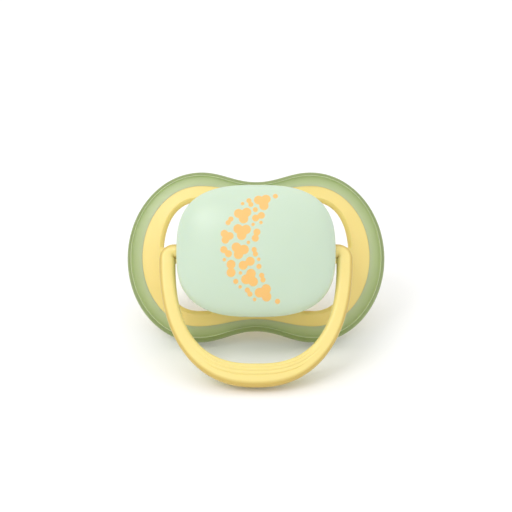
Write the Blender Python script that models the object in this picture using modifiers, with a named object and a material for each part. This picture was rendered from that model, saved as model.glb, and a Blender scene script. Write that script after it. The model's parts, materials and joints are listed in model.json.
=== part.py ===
"""Baby's pacifier with a hollow snap cover and a swinging ring handle.

Every piece is drawn in the pacifier's own frame: X runs along the shield, +Y
points from the shield to the teat's tip, and Z runs across the shield, with
the origin in the middle of the shield plate. Two empties then place them. One
leans the whole pacifier back until it rests on the shield's two lower lobes
and the teat's bulb. The other lies on the ring's hinge pins and swings the
ring forward until it touches the same surface. The origin of the finished
part is the centre of the bottom of its box.
"""

import math

import bmesh
import bpy
from mathutils import Matrix, Vector

# ---------------------------------------------------------------- dimensions
# All in metres. Half sizes are measured from the shield's centre.

# Shield outline, over the soft rim.
SHIELD_HALF_LENGTH = 0.0300
LOBE_X = 0.0131
WAIST_DEPTH = 0.0025
WAIST_HANDLE_SHARE = 0.39
DISH_RADIUS = 0.120

# Hard plate, with the tongue that the rim grips.
PLATE_THICKNESS = 0.0024
TONGUE_LENGTH = 0.0012
TONGUE_THICKNESS = 0.0009
BOND_GAP = 0.0002

# Soft rim, moulded round the plate's edge.
RIM_WIDTH_AT_ENDS = 0.0038
RIM_WIDTH_AT_LOBES = 0.0036
RIM_WIDTH_AT_WAIST = 0.0027
RIM_BEHIND_PLATE = 0.0016
RIM_EDGE_RADIUS = 0.0016

# Cover, a hollow cap on the front of the plate.
COVER_BASE_HALF_LENGTH = 0.0166
COVER_BASE_HALF_HEIGHT = 0.0136
COVER_SWELL_LENGTHWISE = 0.0006
COVER_SWELL_UPRIGHT = 0.0007
COVER_WIDEST_ABOVE_PLATE = 0.0087
COVER_DOME_HEIGHT = 0.0048
COVER_WALL = 0.0014
COVER_RIB_HEIGHT = 0.0016
COVER_RIB_WALL = 0.0010
COVER_TO_RIM = 0.0010
COVER_POWER = 2.8
CROWN_POWER = 2.2
CROWN_SHARE = 0.25
DOME_SHARES = (0.99, 0.96, 0.91, 0.83, 0.71, 0.55, 0.39, CROWN_SHARE)
DOME_FLATNESS = 2.4
DOME_SHOULDER = 1.8

# Vents, the four air holes beside the cover, inside a border of the plate.
PLATE_BORDER_AT_ENDS = 0.0049
PLATE_BORDER_AT_LOBES = 0.0036
VENT_TOP_X = 0.0130
VENT_TOP_FLATNESS = 0.8
VENT_SIDE_HANDLE_SHARE = 0.66
VENT_TOP_HANDLE_SHARE = 0.62
SPOKE_HALF_WIDTH = 0.0018
VENT_TO_COVER = 0.0005

# Ring handle and its two hinge pins.
PIVOT_ABOVE_PLATE = 0.0056
RING_REACH = 0.0295
RING_ARM_WIDTH = 0.0035
RING_BAND_WIDTH = 0.0050
RING_THICKNESS = 0.0037
RING_TO_COVER = 0.00045
RING_CORNER_RADIUS = 0.0033
RING_EDGE_RADIUS = 0.0010
PIN_INSET = 0.00015
PIN_CLEARANCE = 0.0005
PIN_HEAD_GRIP = 0.0007
PIN_HEAD_LENGTH = 0.0015
RING_OUTER_POWER = 2.3
RING_INNER_POWER = 2.6

# Teat, a hollow silicone bulb on a neck, flattened across Z.
TEAT_HEIGHT = 0.0290
TEAT_NECK_RADIUS = 0.00425
TEAT_BULB_RADIUS = 0.00725
TEAT_BULB_HEIGHT = 0.0192
TEAT_WIDENING = 1.17
NECK_FLARE = 0.10
BULB_SWELL_AT = 0.66
BULB_SWELL_LENGTH = 0.09
TEAT_WALL = 0.0013
TEAT_FLANGE_RADIUS = 0.0070
TEAT_FLANGE_THICKNESS = 0.0018

# Plug that holds the teat's flange in the plate's collar.
PLUG_DISC_THICKNESS = 0.0014
PLUG_NOSE_TIP_RADIUS = 0.0010
PLUG_NOSE_LENGTH = 0.0024
PLUG_NOSE_CLEARANCE = 0.0004
COLLAR_WALL = 0.0012
FIT_GAP = 0.0003

# Facets.
OUTLINE_STEPS = 7
OVAL_POINTS = 36
TURNED_STEPS = 24
RING_POINTS = 26
DISH_GRID = 0.0075
WALL_STEPS = 4
CORNER_STEPS = 5
TIP_STEPS = 7
SIDE_STEPS = 10
PIN_SIDES = 20

# Turn between two faces, in radians, past which the edge between them is sharp.
SHARP_TURN = 1.2

# Handle of a Bezier quarter of an ellipse, as a share of its radius.
ARC = 0.5523

# Sizes that follow from the pieces that they fit.
PLATE_FRONT = -PLATE_THICKNESS / 2
PLATE_BACK = PLATE_THICKNESS / 2
RIM_BACK = PLATE_BACK + RIM_BEHIND_PLATE
COVER_HALF_LENGTH = COVER_BASE_HALF_LENGTH + COVER_SWELL_LENGTHWISE
COVER_HALF_HEIGHT = COVER_BASE_HALF_HEIGHT + COVER_SWELL_UPRIGHT
WAIST_HALF_HEIGHT = COVER_BASE_HALF_HEIGHT + COVER_TO_RIM + RIM_WIDTH_AT_WAIST
LOBE_HALF_HEIGHT = WAIST_HALF_HEIGHT + WAIST_DEPTH
VENT_HALF_LENGTH = SHIELD_HALF_LENGTH - RIM_WIDTH_AT_ENDS - PLATE_BORDER_AT_ENDS
VENT_HALF_HEIGHT = LOBE_HALF_HEIGHT - RIM_WIDTH_AT_LOBES - PLATE_BORDER_AT_LOBES
RING_HALF_WIDTH = COVER_HALF_LENGTH + RING_TO_COVER + RING_ARM_WIDTH
PIN_RADIUS = RING_THICKNESS / 2 - PIN_INSET
PIN_HEAD_RADIUS = PIN_RADIUS + PIN_CLEARANCE + PIN_HEAD_GRIP
PIVOT_Y = PLATE_FRONT - PIVOT_ABOVE_PLATE


# ------------------------------------------------------------------- helpers
def new_collection(name):
    collection = bpy.data.collections.new(name)
    bpy.context.scene.collection.children.link(collection)
    return collection


def add_object(name, mesh, collection):
    obj = bpy.data.objects.new(name, mesh)
    collection.objects.link(obj)
    return obj


def material(name, colour, roughness, transmission=0.0):
    mat = bpy.data.materials.new(name)
    mat.use_nodes = True
    shader = mat.node_tree.nodes["Principled BSDF"]
    shader.inputs["Base Color"].default_value = (*colour, 1.0)
    shader.inputs["Roughness"].default_value = roughness
    shader.inputs["Transmission Weight"].default_value = transmission
    return mat


def finish(obj, mat):
    obj.data.materials.clear()
    obj.data.materials.append(mat)
    obj.data.shade_smooth()
    obj.data.set_sharp_from_angle(angle=math.radians(35))


def bake_modifiers(obj):
    """Replace an object's mesh with its evaluated one."""
    depsgraph = bpy.context.evaluated_depsgraph_get()
    mesh = bpy.data.meshes.new_from_object(obj.evaluated_get(depsgraph))
    obj.modifiers.clear()
    obj.data = mesh


def combine(obj, tool, operation):
    """Join, cut or keep the overlap of two meshes, and use the tool up."""
    boolean = obj.modifiers.new(operation.title(), "BOOLEAN")
    boolean.operation = operation
    boolean.solver = "EXACT"
    boolean.object = tool
    bake_modifiers(obj)
    bpy.data.objects.remove(tool)


def slab(name, outline, y_front, y_back, collection):
    """A flat outline in X and Z, as thick as from y_front to y_back."""
    curve = bpy.data.curves.new(name, "CURVE")
    curve.dimensions = "2D"
    curve.fill_mode = "BOTH"
    curve.extrude = (y_back - y_front) / 2
    if len(outline[0]) == 3:
        spline = curve.splines.new("BEZIER")
        spline.bezier_points.add(len(outline) - 1)
        for point, (co, before, after) in zip(spline.bezier_points, outline):
            point.handle_left_type = point.handle_right_type = "FREE"
            point.co = (*co, 0)
            point.handle_left = (*before, 0)
            point.handle_right = (*after, 0)
        spline.resolution_u = OUTLINE_STEPS
    else:
        spline = curve.splines.new("POLY")
        spline.points.add(len(outline) - 1)
        for point, co in zip(spline.points, outline):
            point.co = (*co, 0, 1)
    spline.use_cyclic_u = True
    flat = add_object(name, curve, collection)
    depsgraph = bpy.context.evaluated_depsgraph_get()
    mesh = bpy.data.meshes.new_from_object(flat.evaluated_get(depsgraph))
    bpy.data.objects.remove(flat)
    bm = bmesh.new()
    bm.from_mesh(mesh)
    bmesh.ops.remove_doubles(bm, verts=bm.verts, dist=1e-6)
    bmesh.ops.dissolve_limit(bm, angle_limit=1e-4, use_dissolve_boundaries=False,
                             verts=bm.verts, edges=bm.edges)
    middle = Matrix.Translation((0, (y_front + y_back) / 2, 0))
    upright = middle @ Matrix.Rotation(math.pi / 2, 4, "X")
    bmesh.ops.transform(bm, matrix=upright, verts=bm.verts)
    bmesh.ops.recalc_face_normals(bm, faces=bm.faces)
    bm.to_mesh(mesh)
    bm.free()
    return add_object(name, mesh, collection)


def oval(half_x, half_z, power, count):
    """Points of a superellipse; power 2 is an ellipse, more is squarer."""
    points = []
    for i in range(count):
        turn = 2 * math.pi * i / count
        c, s = math.cos(turn), math.sin(turn)
        x = half_x * math.copysign(abs(c) ** (2 / power), c)
        z = half_z * math.copysign(abs(s) ** (2 / power), s)
        points.append((x, z))
    return points


def lobed_outline(half_length, lobe_half_height, waist_half_height, lobe_x):
    """Bezier points of the shield's shape: two round ends and a slight waist."""
    end_handle = ARC * lobe_half_height
    lobe_handle = ARC * (half_length - lobe_x)
    waist_handle = WAIST_HANDLE_SHARE * lobe_x
    points = []
    for sx, sz in ((1, 1), (-1, 1), (-1, -1), (1, -1)):
        lobe = ((sx * lobe_x, sz * lobe_half_height),
                (sx * (lobe_x + lobe_handle), sz * lobe_half_height),
                (sx * (lobe_x - waist_handle), sz * lobe_half_height))
        if sx * sz < 0:
            lobe = (lobe[0], lobe[2], lobe[1])
        points.append(lobe)
        if sx == sz:
            points.append(((0, sz * waist_half_height),
                           (sx * waist_handle, sz * waist_half_height),
                           (-sx * waist_handle, sz * waist_half_height)))
        else:
            points.append(((sx * half_length, 0),
                           (sx * half_length, sz * end_handle),
                           (sx * half_length, -sz * end_handle)))
    return points


def plate_outline(grow=0.0):
    return lobed_outline(SHIELD_HALF_LENGTH - RIM_WIDTH_AT_ENDS + grow,
                         LOBE_HALF_HEIGHT - RIM_WIDTH_AT_LOBES + grow,
                         WAIST_HALF_HEIGHT - RIM_WIDTH_AT_WAIST + grow, LOBE_X)


def dish(x, z):
    """How far the shield curves towards the teat at a point."""
    return DISH_RADIUS - math.sqrt(DISH_RADIUS ** 2 - x * x - z * z)


def bend_to_dish(obj):
    """Cut the flat faces along a grid, then bend the whole piece."""
    bm = bmesh.new()
    bm.from_mesh(obj.data)
    for axis, reach in ((Vector((1, 0, 0)), SHIELD_HALF_LENGTH),
                        (Vector((0, 0, 1)), LOBE_HALF_HEIGHT)):
        lines = int(reach / DISH_GRID)
        for line in range(-lines, lines + 1):
            geometry = bm.verts[:] + bm.edges[:] + bm.faces[:]
            bmesh.ops.bisect_plane(bm, geom=geometry, dist=1e-7,
                                   plane_co=axis * line * DISH_GRID, plane_no=axis)
    bmesh.ops.triangulate(bm, faces=bm.faces)
    for vert in bm.verts:
        vert.co.y += dish(vert.co.x, vert.co.z)
    bm.to_mesh(obj.data)
    bm.free()


def round_edges(obj, chosen, radius, segments):
    """Bevel the edges that chosen(edge) picks."""
    bm = bmesh.new()
    bm.from_mesh(obj.data)
    edges = [edge for edge in bm.edges if chosen(edge)]
    bmesh.ops.bevel(bm, geom=edges, offset=radius, offset_type="OFFSET", segments=segments,
                    profile=0.5, affect="EDGES", clamp_overlap=True)
    bm.to_mesh(obj.data)
    bm.free()


def turned(name, profile, collection):
    """A profile of (radius, height along Y) turned about Y, widened in X."""
    mesh = bpy.data.meshes.new(name)
    points = [(radius, 0, height) for radius, height in profile]
    mesh.from_pydata(points, [(i, i + 1) for i in range(len(points) - 1)], [])
    obj = add_object(name, mesh, collection)
    screw = obj.modifiers.new("Screw", "SCREW")
    screw.steps = screw.render_steps = TURNED_STEPS
    screw.use_merge_vertices = True
    screw.merge_threshold = 0.00001
    bake_modifiers(obj)
    widen = Matrix.Diagonal((TEAT_WIDENING, 1, 1, 1)) @ Matrix.Rotation(-math.pi / 2, 4, "X")
    obj.data.transform(widen)
    return obj


# -------------------------------------------------------------------- shield
def make_plate(parts, cutters):
    """Hard dished plate with vents, neck hole, collar and cover rib."""
    plate = slab("shield_plate", plate_outline(), PLATE_FRONT, PLATE_BACK, parts)
    tongue = slab("tongue", plate_outline(TONGUE_LENGTH), -TONGUE_THICKNESS / 2,
                  TONGUE_THICKNESS / 2, cutters)
    combine(plate, tongue, "UNION")

    rib_x = COVER_BASE_HALF_LENGTH - COVER_WALL - FIT_GAP
    rib_z = COVER_BASE_HALF_HEIGHT - COVER_WALL - FIT_GAP
    stand_on_plate(plate, rib_x, rib_z, COVER_POWER, COVER_RIB_WALL, COVER_RIB_HEIGHT, cutters)

    collar_z = TEAT_FLANGE_RADIUS + FIT_GAP + COLLAR_WALL
    collar_x = TEAT_FLANGE_RADIUS * TEAT_WIDENING + FIT_GAP + COLLAR_WALL
    collar_height = TEAT_FLANGE_THICKNESS + PLUG_DISC_THICKNESS + 2 * FIT_GAP
    stand_on_plate(plate, collar_x, collar_z, 2.0, COLLAR_WALL, collar_height, cutters)

    hole = oval(TEAT_NECK_RADIUS * TEAT_WIDENING + FIT_GAP, TEAT_NECK_RADIUS + FIT_GAP,
                2.0, OVAL_POINTS)
    combine(plate, slab("neck_hole", hole, 4 * PLATE_FRONT, 4 * PLATE_BACK, cutters), "DIFFERENCE")
    combine(plate, make_vent_cutter(cutters), "DIFFERENCE")
    bend_to_dish(plate)
    return plate


def stand_on_plate(plate, half_x, half_z, power, wall, height, cutters):
    """Join an upright oval wall to the front of the plate."""
    outer = oval(half_x, half_z, power, OVAL_POINTS)
    inner = oval(half_x - wall, half_z - wall, power, OVAL_POINTS)
    ring = slab("wall", outer, PLATE_FRONT - height, 0, cutters)
    inside = slab("wall_inside", inner, PLATE_FRONT - 2 * height, PLATE_BACK, cutters)
    combine(ring, inside, "DIFFERENCE")
    combine(plate, ring, "UNION")


def make_vent_cutter(cutters):
    """Four vents: the vent outline less the cover's hub and the two spokes."""
    side_handle = VENT_SIDE_HANDLE_SHARE * VENT_HALF_HEIGHT
    top_handle = VENT_TOP_HANDLE_SHARE * (VENT_HALF_LENGTH - VENT_TOP_X)
    outline = []
    for sx, sz in ((1, 1), (-1, 1), (-1, -1), (1, -1)):
        top = ((sx * VENT_TOP_X, sz * VENT_HALF_HEIGHT),
               (sx * (VENT_TOP_X + top_handle), sz * VENT_HALF_HEIGHT),
               (sx * VENT_TOP_X * VENT_TOP_FLATNESS, sz * VENT_HALF_HEIGHT))
        if sx * sz < 0:
            top = (top[0], top[2], top[1])
        outline.append(top)
        if sx != sz:
            outline.append(((sx * VENT_HALF_LENGTH, 0),
                            (sx * VENT_HALF_LENGTH, sz * side_handle),
                            (sx * VENT_HALF_LENGTH, -sz * side_handle)))
    vents = slab("vents", outline, 2 * PLATE_FRONT, 2 * PLATE_BACK, cutters)
    hub = oval(COVER_BASE_HALF_LENGTH + VENT_TO_COVER, COVER_BASE_HALF_HEIGHT + VENT_TO_COVER,
               COVER_POWER, OVAL_POINTS)
    combine(vents, slab("hub", hub, 3 * PLATE_FRONT, 3 * PLATE_BACK, cutters), "DIFFERENCE")
    bpy.ops.mesh.primitive_cube_add(size=1)
    spokes = bpy.context.object
    spokes.data.transform(Matrix.Diagonal((3 * SHIELD_HALF_LENGTH, 4 * PLATE_THICKNESS,
                                           2 * SPOKE_HALF_WIDTH, 1)))
    combine(vents, spokes, "DIFFERENCE")
    return vents


def make_rim(parts, cutters):
    """Soft rim with a rounded edge and a groove for the plate's tongue."""
    outline = lobed_outline(SHIELD_HALF_LENGTH, LOBE_HALF_HEIGHT, WAIST_HALF_HEIGHT, LOBE_X)
    rim = slab("shield_rim", outline, PLATE_FRONT, RIM_BACK, parts)
    round_edges(rim, lambda edge: edge.calc_face_angle(0) > SHARP_TURN, RIM_EDGE_RADIUS, 3)
    inside = slab("rim_inside", plate_outline(BOND_GAP), 2 * PLATE_FRONT, 2 * RIM_BACK, cutters)
    combine(rim, inside, "DIFFERENCE")
    half_groove = TONGUE_THICKNESS / 2 + BOND_GAP
    groove = slab("rim_groove", plate_outline(TONGUE_LENGTH + BOND_GAP), -half_groove,
                  half_groove, cutters)
    combine(rim, groove, "DIFFERENCE")
    bend_to_dish(rim)
    return rim


# --------------------------------------------------------------------- cover
def cover_sections():
    """The cover's outer sections, as half sizes, height above the plate and power."""
    sections = []
    for step in range(WALL_STEPS + 1):
        rise = step / WALL_STEPS
        swell = math.sin(rise * math.pi / 2)
        half_x = COVER_BASE_HALF_LENGTH + (COVER_HALF_LENGTH - COVER_BASE_HALF_LENGTH) * swell
        half_z = COVER_BASE_HALF_HEIGHT + (COVER_HALF_HEIGHT - COVER_BASE_HALF_HEIGHT) * swell
        sections.append((half_x, half_z, rise * COVER_WIDEST_ABOVE_PLATE, COVER_POWER))
    for share in DOME_SHARES:
        rise = COVER_DOME_HEIGHT * (1 - share ** DOME_FLATNESS) ** (1 / DOME_SHOULDER)
        power = CROWN_POWER + (COVER_POWER - CROWN_POWER) * share
        sections.append((COVER_HALF_LENGTH * share, COVER_HALF_HEIGHT * share,
                         COVER_WIDEST_ABOVE_PLATE + rise, power))
    return sections


def make_cover(parts):
    """Hollow cap whose foot follows the dished plate, with two pin holes."""
    bm = bmesh.new()
    rings = []
    for half_x, half_z, height, power in cover_sections():
        follow = max(0.0, 1 - height / COVER_WIDEST_ABOVE_PLATE)
        ring = []
        for x, z in oval(half_x, half_z, power, OVAL_POINTS):
            y = PLATE_FRONT - FIT_GAP - height + follow * dish(x, z)
            ring.append(bm.verts.new((x, y, z)))
        rings.append(ring)
    for lower, upper in zip(rings, rings[1:]):
        for i in range(OVAL_POINTS):
            j = (i + 1) % OVAL_POINTS
            bm.faces.new((lower[i], lower[j], upper[j], upper[i]))
    crown = bm.faces.new(rings[-1])
    bmesh.ops.recalc_face_normals(bm, faces=bm.faces)
    if crown.normal.y > 0:
        bmesh.ops.reverse_faces(bm, faces=bm.faces)
    mesh = bpy.data.meshes.new("cover")
    bm.to_mesh(mesh)
    bm.free()
    cover = add_object("cover", mesh, parts)
    shell = cover.modifiers.new("Wall", "SOLIDIFY")
    shell.thickness = COVER_WALL
    shell.offset = -1
    shell.use_even_offset = True
    bake_modifiers(cover)
    bpy.ops.mesh.primitive_cylinder_add(vertices=PIN_SIDES, radius=PIN_RADIUS + PIN_CLEARANCE,
                                        depth=4 * COVER_HALF_LENGTH, location=(0, PIVOT_Y, 0),
                                        rotation=(0, math.pi / 2, 0))
    combine(cover, bpy.context.object, "DIFFERENCE")
    return cover


# ---------------------------------------------------------------------- ring
def ring_outline():
    """Outline of the ring, hanging down from its pins at the origin."""
    top = RING_THICKNESS / 2
    inner_half = RING_HALF_WIDTH - RING_ARM_WIDTH
    inner_reach = RING_REACH - RING_BAND_WIDTH
    corner_x = RING_HALF_WIDTH - RING_CORNER_RADIUS
    corner_z = top - RING_CORNER_RADIUS
    corner = []
    for step in range(CORNER_STEPS + 1):
        turn = math.pi / 2 * (1 - step / CORNER_STEPS)
        corner.append((corner_x + RING_CORNER_RADIUS * math.cos(turn),
                       corner_z + RING_CORNER_RADIUS * math.sin(turn)))
    outer = []
    inner = []
    for i in range(RING_POINTS + 1):
        turn = math.pi * i / RING_POINTS
        c, s = math.cos(turn), abs(math.sin(turn))
        outer.append((RING_HALF_WIDTH * math.copysign(abs(c) ** (2 / RING_OUTER_POWER), c),
                      -RING_REACH * s ** (2 / RING_OUTER_POWER)))
        inner.append((inner_half * math.copysign(abs(c) ** (2 / RING_INNER_POWER), c),
                      -inner_reach * s ** (2 / RING_INNER_POWER)))
    outer = [point for point in outer if point[1] < corner_z - RING_EDGE_RADIUS / 2]
    mirrored = [(-x, z) for x, z in reversed(corner)]
    return corner + outer + mirrored + [(-inner_half, top)] + inner[::-1] + [(inner_half, top)]


def make_ring(parts):
    """Ring handle with its hinge pins along X through the origin."""
    ring = slab("ring_handle", ring_outline(), -RING_THICKNESS / 2, RING_THICKNESS / 2, parts)
    round_edges(ring, lambda edge: abs(edge.verts[0].co.y - edge.verts[1].co.y) < 1e-6
                and edge.calc_face_angle(0) > SHARP_TURN, RING_EDGE_RADIUS, 2)
    wall_inside = COVER_BASE_HALF_LENGTH - COVER_WALL - FIT_GAP
    head_start = wall_inside - PIN_HEAD_LENGTH
    arm_middle = RING_HALF_WIDTH - RING_ARM_WIDTH / 2
    for side in (-1, 1):
        for radius, start, end in ((PIN_RADIUS, head_start + PIN_HEAD_LENGTH / 2, arm_middle),
                                   (PIN_HEAD_RADIUS, head_start, wall_inside)):
            bpy.ops.mesh.primitive_cylinder_add(vertices=PIN_SIDES, radius=radius, depth=end - start,
                                                location=(side * (start + end) / 2, 0, 0),
                                                rotation=(0, math.pi / 2, 0))
            combine(ring, bpy.context.object, "UNION")
    return ring


# ---------------------------------------------------------------------- teat
def teat_radius(height):
    """Outer half width of the teat in Z at a height above the plate's back."""
    if height >= TEAT_BULB_HEIGHT:
        up = min(1.0, (height - TEAT_BULB_HEIGHT) / (TEAT_HEIGHT - TEAT_BULB_HEIGHT))
        return TEAT_BULB_RADIUS * math.sqrt(1 - up * up)
    along = height / TEAT_BULB_HEIGHT
    swell = 1 / (1 + math.exp((BULB_SWELL_AT - along) / BULB_SWELL_LENGTH))
    full_swell = 1 / (1 + math.exp((BULB_SWELL_AT - 1) / BULB_SWELL_LENGTH))
    neck = TEAT_NECK_RADIUS * (1 + NECK_FLARE * along)
    widest_neck = TEAT_NECK_RADIUS * (1 + NECK_FLARE)
    return neck + (TEAT_BULB_RADIUS - widest_neck) * swell / full_swell


def make_teat(parts):
    """Hollow teat with a flange in front of the plate, open at the flange."""
    flange_back = PLATE_FRONT - FIT_GAP
    flange_front = flange_back - TEAT_FLANGE_THICKNESS
    outer = []
    inner = []
    for i in range(TIP_STEPS):
        turn = math.pi / 2 * (1 - i / TIP_STEPS)
        cap = TEAT_HEIGHT - TEAT_BULB_HEIGHT
        outer.append((TEAT_BULB_RADIUS * math.cos(turn), TEAT_BULB_HEIGHT + cap * math.sin(turn)))
        inner.append(((TEAT_BULB_RADIUS - TEAT_WALL) * math.cos(turn),
                      TEAT_BULB_HEIGHT + (cap - TEAT_WALL) * math.sin(turn)))
    outer[0] = (0, TEAT_HEIGHT)
    inner[0] = (0, TEAT_HEIGHT - TEAT_WALL)
    for i in range(SIDE_STEPS + 1):
        height = TEAT_BULB_HEIGHT * (1 - i / SIDE_STEPS)
        outer.append((teat_radius(height), height))
        inner.append((teat_radius(height) - TEAT_WALL, height))
    profile = [(radius, PLATE_BACK + height) for radius, height in outer]
    profile += [(TEAT_NECK_RADIUS, flange_back), (TEAT_FLANGE_RADIUS, flange_back),
                (TEAT_FLANGE_RADIUS, flange_front), (TEAT_NECK_RADIUS - TEAT_WALL, flange_front)]
    profile += [(radius, PLATE_BACK + height) for radius, height in reversed(inner)]
    return turned("teat", profile, parts)


def make_plug(parts):
    """Plug: a disc behind the teat's flange and a tapered nose in its neck."""
    disc_back = PLATE_FRONT - 2 * FIT_GAP - TEAT_FLANGE_THICKNESS
    nose_radius = TEAT_NECK_RADIUS - TEAT_WALL - PLUG_NOSE_CLEARANCE
    nose_tip = PLATE_BACK + PLUG_NOSE_LENGTH
    profile = [(0, nose_tip), (PLUG_NOSE_TIP_RADIUS, nose_tip),
               (nose_radius, PLATE_BACK), (nose_radius, disc_back),
               (TEAT_FLANGE_RADIUS, disc_back), (TEAT_FLANGE_RADIUS, disc_back - PLUG_DISC_THICKNESS),
               (0, disc_back - PLUG_DISC_THICKNESS)]
    return turned("teat_plug", profile, parts)


# ----------------------------------------------------------------- placement
def lowest(obj, angle):
    """Lowest height of a mesh when it is turned back about X by an angle."""
    c, s = math.cos(angle), math.sin(angle)
    return min(vert.co.z * c - vert.co.y * s for vert in obj.data.vertices)


def solve(difference, low, high):
    """Angle where a difference that falls from positive to negative is nil."""
    for _ in range(50):
        middle = (low + high) / 2
        if difference(middle) > 0:
            low = middle
        else:
            high = middle
    return (low + high) / 2


def empty(name, location, turn_x, parent, collection):
    obj = add_object(name, None, collection)
    obj.location = location
    obj.rotation_euler = (turn_x, 0, 0)
    obj.parent = parent
    return obj


def main():
    for obj in list(bpy.data.objects):
        bpy.data.objects.remove(obj)
    parts = new_collection("pacifier")
    cutters = new_collection("cutters")

    plate = make_plate(parts, cutters)
    rim = make_rim(parts, cutters)
    teat = make_teat(parts)
    plug = make_plug(parts)
    cover = make_cover(parts)
    ring = make_ring(parts)

    finish(plate, material("yellow_polypropylene", (0.91, 0.74, 0.28), 0.35))
    finish(rim, material("green_elastomer", (0.48, 0.56, 0.26), 0.45))
    finish(teat, material("frosted_silicone", (0.80, 0.80, 0.80), 0.5, 0.4))
    finish(plug, material("plug_polypropylene", (0.91, 0.74, 0.28), 0.35))
    finish(cover, material("mint_polypropylene", (0.60, 0.76, 0.58), 0.3))
    finish(ring, material("pale_yellow_polypropylene", (0.93, 0.79, 0.38), 0.35))

    # Lean back until the shield's lower lobes and the teat's bulb are level.
    lean = solve(lambda angle: lowest(teat, angle) - lowest(rim, angle), 0.0, math.pi / 3)
    floor = lowest(rim, lean)
    pivot_height = -PIVOT_Y * math.sin(lean) - floor
    swing = solve(lambda angle: -(pivot_height + lowest(ring, angle)), 0.0, math.pi / 2)

    # The ring hangs straight down at a turn of nought, so its own turn is the
    # swing less the lean that its parent gives it already.
    root = empty("pacifier_lean", (0, 0, 0), -lean, None, parts)
    hinge = empty("ring_hinge", (0, PIVOT_Y, 0), -(swing - lean), root, parts)
    for obj in (plate, rim, teat, plug, cover):
        obj.parent = root
    ring.parent = hinge

    bpy.context.view_layer.update()
    ys = [(obj.matrix_world @ vert.co).y for obj in parts.objects if obj.type == "MESH"
          for vert in obj.data.vertices]
    root.location = (0, -(min(ys) + max(ys)) / 2, -floor)
    bpy.context.view_layer.update()


main()
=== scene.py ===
import json
import math
import random

import bmesh
import bpy
from mathutils import Matrix, Vector


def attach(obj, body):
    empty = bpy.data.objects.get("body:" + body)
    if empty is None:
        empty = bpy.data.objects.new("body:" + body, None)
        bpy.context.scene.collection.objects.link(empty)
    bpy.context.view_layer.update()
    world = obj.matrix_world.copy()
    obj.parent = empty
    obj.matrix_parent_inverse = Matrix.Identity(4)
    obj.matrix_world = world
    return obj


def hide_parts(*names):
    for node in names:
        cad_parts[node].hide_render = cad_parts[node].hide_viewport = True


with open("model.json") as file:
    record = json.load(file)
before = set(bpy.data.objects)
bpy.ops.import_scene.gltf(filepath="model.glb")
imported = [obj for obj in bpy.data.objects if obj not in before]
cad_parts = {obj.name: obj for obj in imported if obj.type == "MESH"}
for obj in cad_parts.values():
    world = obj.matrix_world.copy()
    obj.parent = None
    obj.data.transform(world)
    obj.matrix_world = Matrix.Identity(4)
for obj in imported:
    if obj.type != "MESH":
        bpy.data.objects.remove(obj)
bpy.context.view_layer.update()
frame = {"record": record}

MM = 0.001


# ------------------------------------------------------------ how it is lying
# The pacifier leans back on its shield and teat, with the ring swung forward.
# Each piece is made flat on a bench, with X along the shield, Y across it and
# Z towards the viewer's side, and is then laid where the frame has it.
PIN_HEIGHT = 6.8 * MM


def backward_lean(mount_name):
    """How far a flat face of the record leans back from upright."""
    mount = next(m for m in frame["record"]["mounts"] if m["name"] == mount_name)
    return math.atan2(mount["axis"][2], -mount["axis"][1])


pins = Vector(frame["record"]["behaviour"]["joints"][0]["pos_m"])
lean = backward_lean("cover_crown_face")
at_pins = Matrix.Translation(pins)
body_place = (at_pins @ Matrix.Rotation(math.pi / 2 - lean, 4, "X")
              @ Matrix.Translation((0, 0, -PIN_HEIGHT)))
ring_place = at_pins @ Matrix.Rotation(math.pi / 2 - backward_lean("ring_front_face"), 4, "X")


def lay(piece, place):
    """Move a finished piece from the bench to its place, in its mesh."""
    piece.data.transform(place)
    piece.data.update()


# --------------------------------------------------------- camera, floor, light
# A plain studio: a wide white floor in a white room, even soft light from above,
# and one smaller soft light high on the left that gives the gloss. The room looks
# brighter than it shines, so that it meets the floor without a line.
CAMERA_BELOW_SHIELD = math.radians(6)
CAMERA_DISTANCE = 184 * MM
CAMERA_LENS = 56.2
AIM_BEHIND_PLATE = 1.6 * MM
FLOOR_WIDTH = 30
ROOM_LIGHT = 0.66
OVERHEAD_SPREAD = math.radians(100)
OVERHEAD_STRENGTH = 1.1
KEY_PLACE = Vector((-0.30, -0.24, 0.50))
KEY_WIDTH = 0.26
KEY_POWER = 0.78

aim = body_place @ Vector((0, 0, -AIM_BEHIND_PLATE))
towards_camera = body_place.to_3x3() @ Vector((0, -math.sin(CAMERA_BELOW_SHIELD),
                                               math.cos(CAMERA_BELOW_SHIELD)))
bpy.ops.object.camera_add(location=aim + CAMERA_DISTANCE * towards_camera,
                          rotation=towards_camera.to_track_quat("Z", "Y").to_euler())
camera = bpy.context.object
camera.data.lens = CAMERA_LENS
camera.data.clip_start = 5 * MM
bpy.context.scene.camera = camera
bpy.context.scene.view_settings.view_transform = "Standard"


def linear(hex_colour):
    """An sRGB hex colour as linear red, green, blue and alpha."""
    channels = [int(hex_colour[i:i + 2], 16) / 255 for i in (1, 3, 5)]
    red, green, blue = (c / 12.92 if c <= 0.04045 else ((c + 0.055) / 1.055) ** 2.4 for c in channels)
    return red, green, blue, 1.0


def add_node(tree, kind, settings=None, links=None):
    """Add a shader node, set its inputs or properties, and link its inputs."""
    node = tree.nodes.new("ShaderNode" + kind)
    for key, value in (settings or {}).items():
        if key == "stops":
            ends = node.color_ramp.elements
            ends[0].position, ends[0].color = value[0][0], linear(value[0][1])
            ends[1].position, ends[1].color = value[-1][0], linear(value[-1][1])
            for position, colour in value[1:-1]:
                ends.new(position).color = linear(colour)
        elif isinstance(key, int) or key in node.inputs:
            node.inputs[key].default_value = value
        else:
            setattr(node, key, value)
    for key, source in (links or {}).items():
        tree.links.new(source, node.inputs[key])
    return node


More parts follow.
